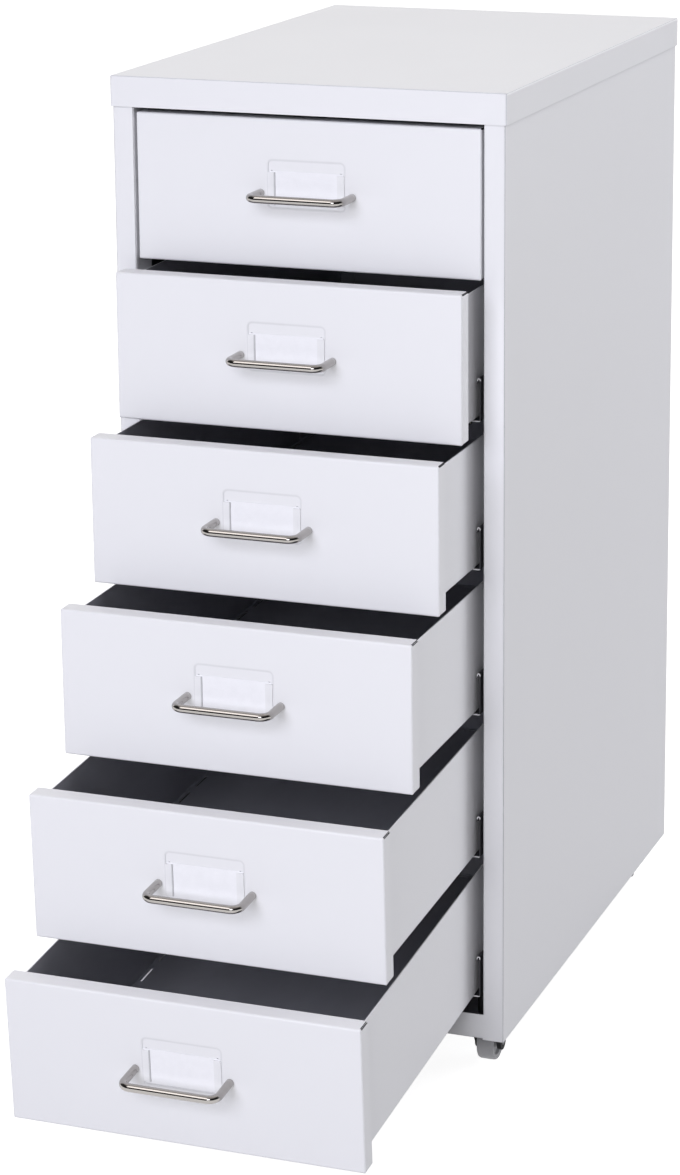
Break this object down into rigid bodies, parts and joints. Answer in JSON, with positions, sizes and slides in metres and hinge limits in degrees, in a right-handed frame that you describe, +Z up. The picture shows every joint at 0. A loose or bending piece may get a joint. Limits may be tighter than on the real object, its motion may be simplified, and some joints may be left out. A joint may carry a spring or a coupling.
{
  "type": "small metal drawer cabinet",
  "caption": "Narrow folded-steel drawer cabinet on swivel casters, with shallow drawers on runners, wire handles and label holders; the lower drawers stand drawn out further.",
  "frame": {"origin": "on the floor, under the middle of the whole object's box with the drawers drawn out as they stand at rest", "axes": "+X to the right as seen from the front, +Y towards the back, so the drawers pull out along -Y, +Z up"},
  "size_m": [0.28, 0.68, 0.69],
  "materials": {
    "white_paint": "satin white powder coat",
    "runner_steel": "thin satin white coat, rubbed where the trays slide",
    "handle_wire": "nickel-plated wire",
    "screw_steel": "zinc-plated steel",
    "nylon": "plain moulded nylon",
    "card": "blank white card",
    "black_plastic": "moulded nylon",
    "wheel_grey": "soft grey moulded tread"
  },
  "bodies": {
    "cabinet": {"top_panel": "white_paint", "left_side_panel": "white_paint", "right_side_panel": "white_paint", "back_panel": "white_paint", "bottom_panel": "white_paint", "caster_sockets": "black_plastic", "runners_1": "runner_steel", "runners_2": "runner_steel", "runners_3": "runner_steel", "runners_4": "runner_steel", "runners_5": "runner_steel", "runners_6": "runner_steel"},
    "drawer_1": {"drawer_front_1": "white_paint", "drawer_tray_1": "white_paint", "handle_1": "handle_wire", "handle_screws_1": "screw_steel", "label_card_1": "card"},
    "rollers_1": {"drawer_rollers_1": "nylon"},
    "drawer_2": {"drawer_front_2": "white_paint", "drawer_tray_2": "white_paint", "handle_2": "handle_wire", "handle_screws_2": "screw_steel", "label_card_2": "card"},
    "rollers_2": {"drawer_rollers_2": "nylon"},
    "drawer_3": {"drawer_front_3": "white_paint", "drawer_tray_3": "white_paint", "handle_3": "handle_wire", "handle_screws_3": "screw_steel", "label_card_3": "card"},
    "rollers_3": {"drawer_rollers_3": "nylon"},
    "drawer_4": {"drawer_front_4": "white_paint", "drawer_tray_4": "white_paint", "handle_4": "handle_wire", "handle_screws_4": "screw_steel", "label_card_4": "card"},
    "rollers_4": {"drawer_rollers_4": "nylon"},
    "drawer_5": {"drawer_front_5": "white_paint", "drawer_tray_5": "white_paint", "handle_5": "handle_wire", "handle_screws_5": "screw_steel", "label_card_5": "card"},
    "rollers_5": {"drawer_rollers_5": "nylon"},
    "drawer_6": {"drawer_front_6": "white_paint", "drawer_tray_6": "white_paint", "handle_6": "handle_wire", "handle_screws_6": "screw_steel", "label_card_6": "card"},
    "rollers_6": {"drawer_rollers_6": "nylon"},
    "swivel_front_left": {"caster_fork_front_left": "black_plastic", "caster_axle_front_left": "screw_steel"},
    "wheel_front_left": {"caster_wheel_front_left": "wheel_grey"},
    "swivel_front_right": {"caster_fork_front_right": "black_plastic", "caster_axle_front_right": "screw_steel"},
    "wheel_front_right": {"caster_wheel_front_right": "wheel_grey"},
    "swivel_rear_left": {"caster_fork_rear_left": "black_plastic", "caster_axle_rear_left": "screw_steel"},
    "wheel_rear_left": {"caster_wheel_rear_left": "wheel_grey"},
    "swivel_rear_right": {"caster_fork_rear_right": "black_plastic", "caster_axle_rear_right": "screw_steel"},
    "wheel_rear_right": {"caster_wheel_rear_right": "wheel_grey"}
  },
  "joints": [
    {"name": "drawer_1_tip", "type": "hinge", "parent": "cabinet", "child": "rollers_1", "pos_m": [0, -0.07423, 0.57005], "axis": [1, 0, 0], "range_deg": [-0.02, 1.67]},
    {"name": "drawer_1_slide", "type": "slide", "parent": "rollers_1", "child": "drawer_1", "axis": [0, -1, 0], "range_m": [0, 0.33]},
    {"name": "drawer_2_tip", "type": "hinge", "parent": "cabinet", "child": "rollers_2", "pos_m": [0, -0.07423, 0.46805], "axis": [1, 0, 0], "range_deg": [-0.21, 1.47]},
    {"name": "drawer_2_slide", "type": "slide", "parent": "rollers_2", "child": "drawer_2", "axis": [0, -1, -0.0034], "range_m": [-0.039, 0.291]},
    {"name": "drawer_3_tip", "type": "hinge", "parent": "cabinet", "child": "rollers_3", "pos_m": [0, -0.07423, 0.36605], "axis": [1, 0, 0], "range_deg": [-0.45, 1.25]},
    {"name": "drawer_3_slide", "type": "slide", "parent": "rollers_3", "child": "drawer_3", "axis": [0, -1, -0.0074], "range_m": [-0.085, 0.245]},
    {"name": "drawer_4_tip", "type": "hinge", "parent": "cabinet", "child": "rollers_4", "pos_m": [0, -0.07423, 0.26405], "axis": [1, 0, 0], "range_deg": [-0.71, 0.99]},
    {"name": "drawer_4_slide", "type": "slide", "parent": "rollers_4", "child": "drawer_4", "axis": [0, -0.9999, -0.012], "range_m": [-0.137, 0.193]},
    {"name": "drawer_5_tip", "type": "hinge", "parent": "cabinet", "child": "rollers_5", "pos_m": [0, -0.07423, 0.16205], "axis": [1, 0, 0], "range_deg": [-2.61, 1.98]},
    {"name": "drawer_5_slide", "type": "slide", "parent": "rollers_5", "child": "drawer_5", "axis": [0, -0.999, -0.0452], "range_m": [-0.188, 0.142]},
    {"name": "drawer_6_tip", "type": "hinge", "parent": "cabinet", "child": "rollers_6", "pos_m": [0, -0.07423, 0.06005], "axis": [1, 0, 0], "range_deg": [-4.03, 1.79]},
    {"name": "drawer_6_slide", "type": "slide", "parent": "rollers_6", "child": "drawer_6", "axis": [0, -0.9976, -0.0699], "range_m": [-0.229, 0.101]},
    {"name": "swivel_front_left_turn", "type": "hinge", "parent": "cabinet", "child": "swivel_front_left", "pos_m": [-0.116, -0.05123, 0.03], "axis": [0, 0, 1], "continuous": true},
    {"name": "wheel_front_left_spin", "type": "hinge", "parent": "swivel_front_left", "child": "wheel_front_left", "pos_m": [-0.116, -0.04123, 0.0135], "axis": [1, 0, 0], "continuous": true},
    {"name": "swivel_front_right_turn", "type": "hinge", "parent": "cabinet", "child": "swivel_front_right", "pos_m": [0.116, -0.05123, 0.03], "axis": [0, 0, 1], "continuous": true},
    {"name": "wheel_front_right_spin", "type": "hinge", "parent": "swivel_front_right", "child": "wheel_front_right", "pos_m": [0.116, -0.04123, 0.0135], "axis": [1, 0, 0], "continuous": true},
    {"name": "swivel_rear_left_turn", "type": "hinge", "parent": "cabinet", "child": "swivel_rear_left", "pos_m": [-0.116, 0.30777, 0.03], "axis": [0, 0, 1], "continuous": true},
    {"name": "wheel_rear_left_spin", "type": "hinge", "parent": "swivel_rear_left", "child": "wheel_rear_left", "pos_m": [-0.11193, 0.31691, 0.0135], "axis": [0.9135, -0.4067, 0], "continuous": true},
    {"name": "swivel_rear_right_turn", "type": "hinge", "parent": "cabinet", "child": "swivel_rear_right", "pos_m": [0.116, 0.30777, 0.03], "axis": [0, 0, 1], "continuous": true},
    {"name": "wheel_rear_right_spin", "type": "hinge", "parent": "swivel_rear_right", "child": "wheel_rear_right", "pos_m": [0.11193, 0.31691, 0.0135], "axis": [0.9135, 0.4067, 0], "continuous": true}
  ],
  "couplings": [
    {"joint": "drawer_1_tip", "follows": "drawer_1_slide", "rad_per_m": 0.087266},
    {"joint": "drawer_2_tip", "follows": "drawer_2_slide", "rad_per_m": 0.087266},
    {"joint": "drawer_3_tip", "follows": "drawer_3_slide", "rad_per_m": 0.087266},
    {"joint": "drawer_4_tip", "follows": "drawer_4_slide", "rad_per_m": 0.087266},
    {"joint": "drawer_5_tip", "follows": "drawer_5_slide", "rad_per_m": 0.24064},
    {"joint": "drawer_6_tip", "follows": "drawer_6_slide", "rad_per_m": 0.3057}
  ]
}
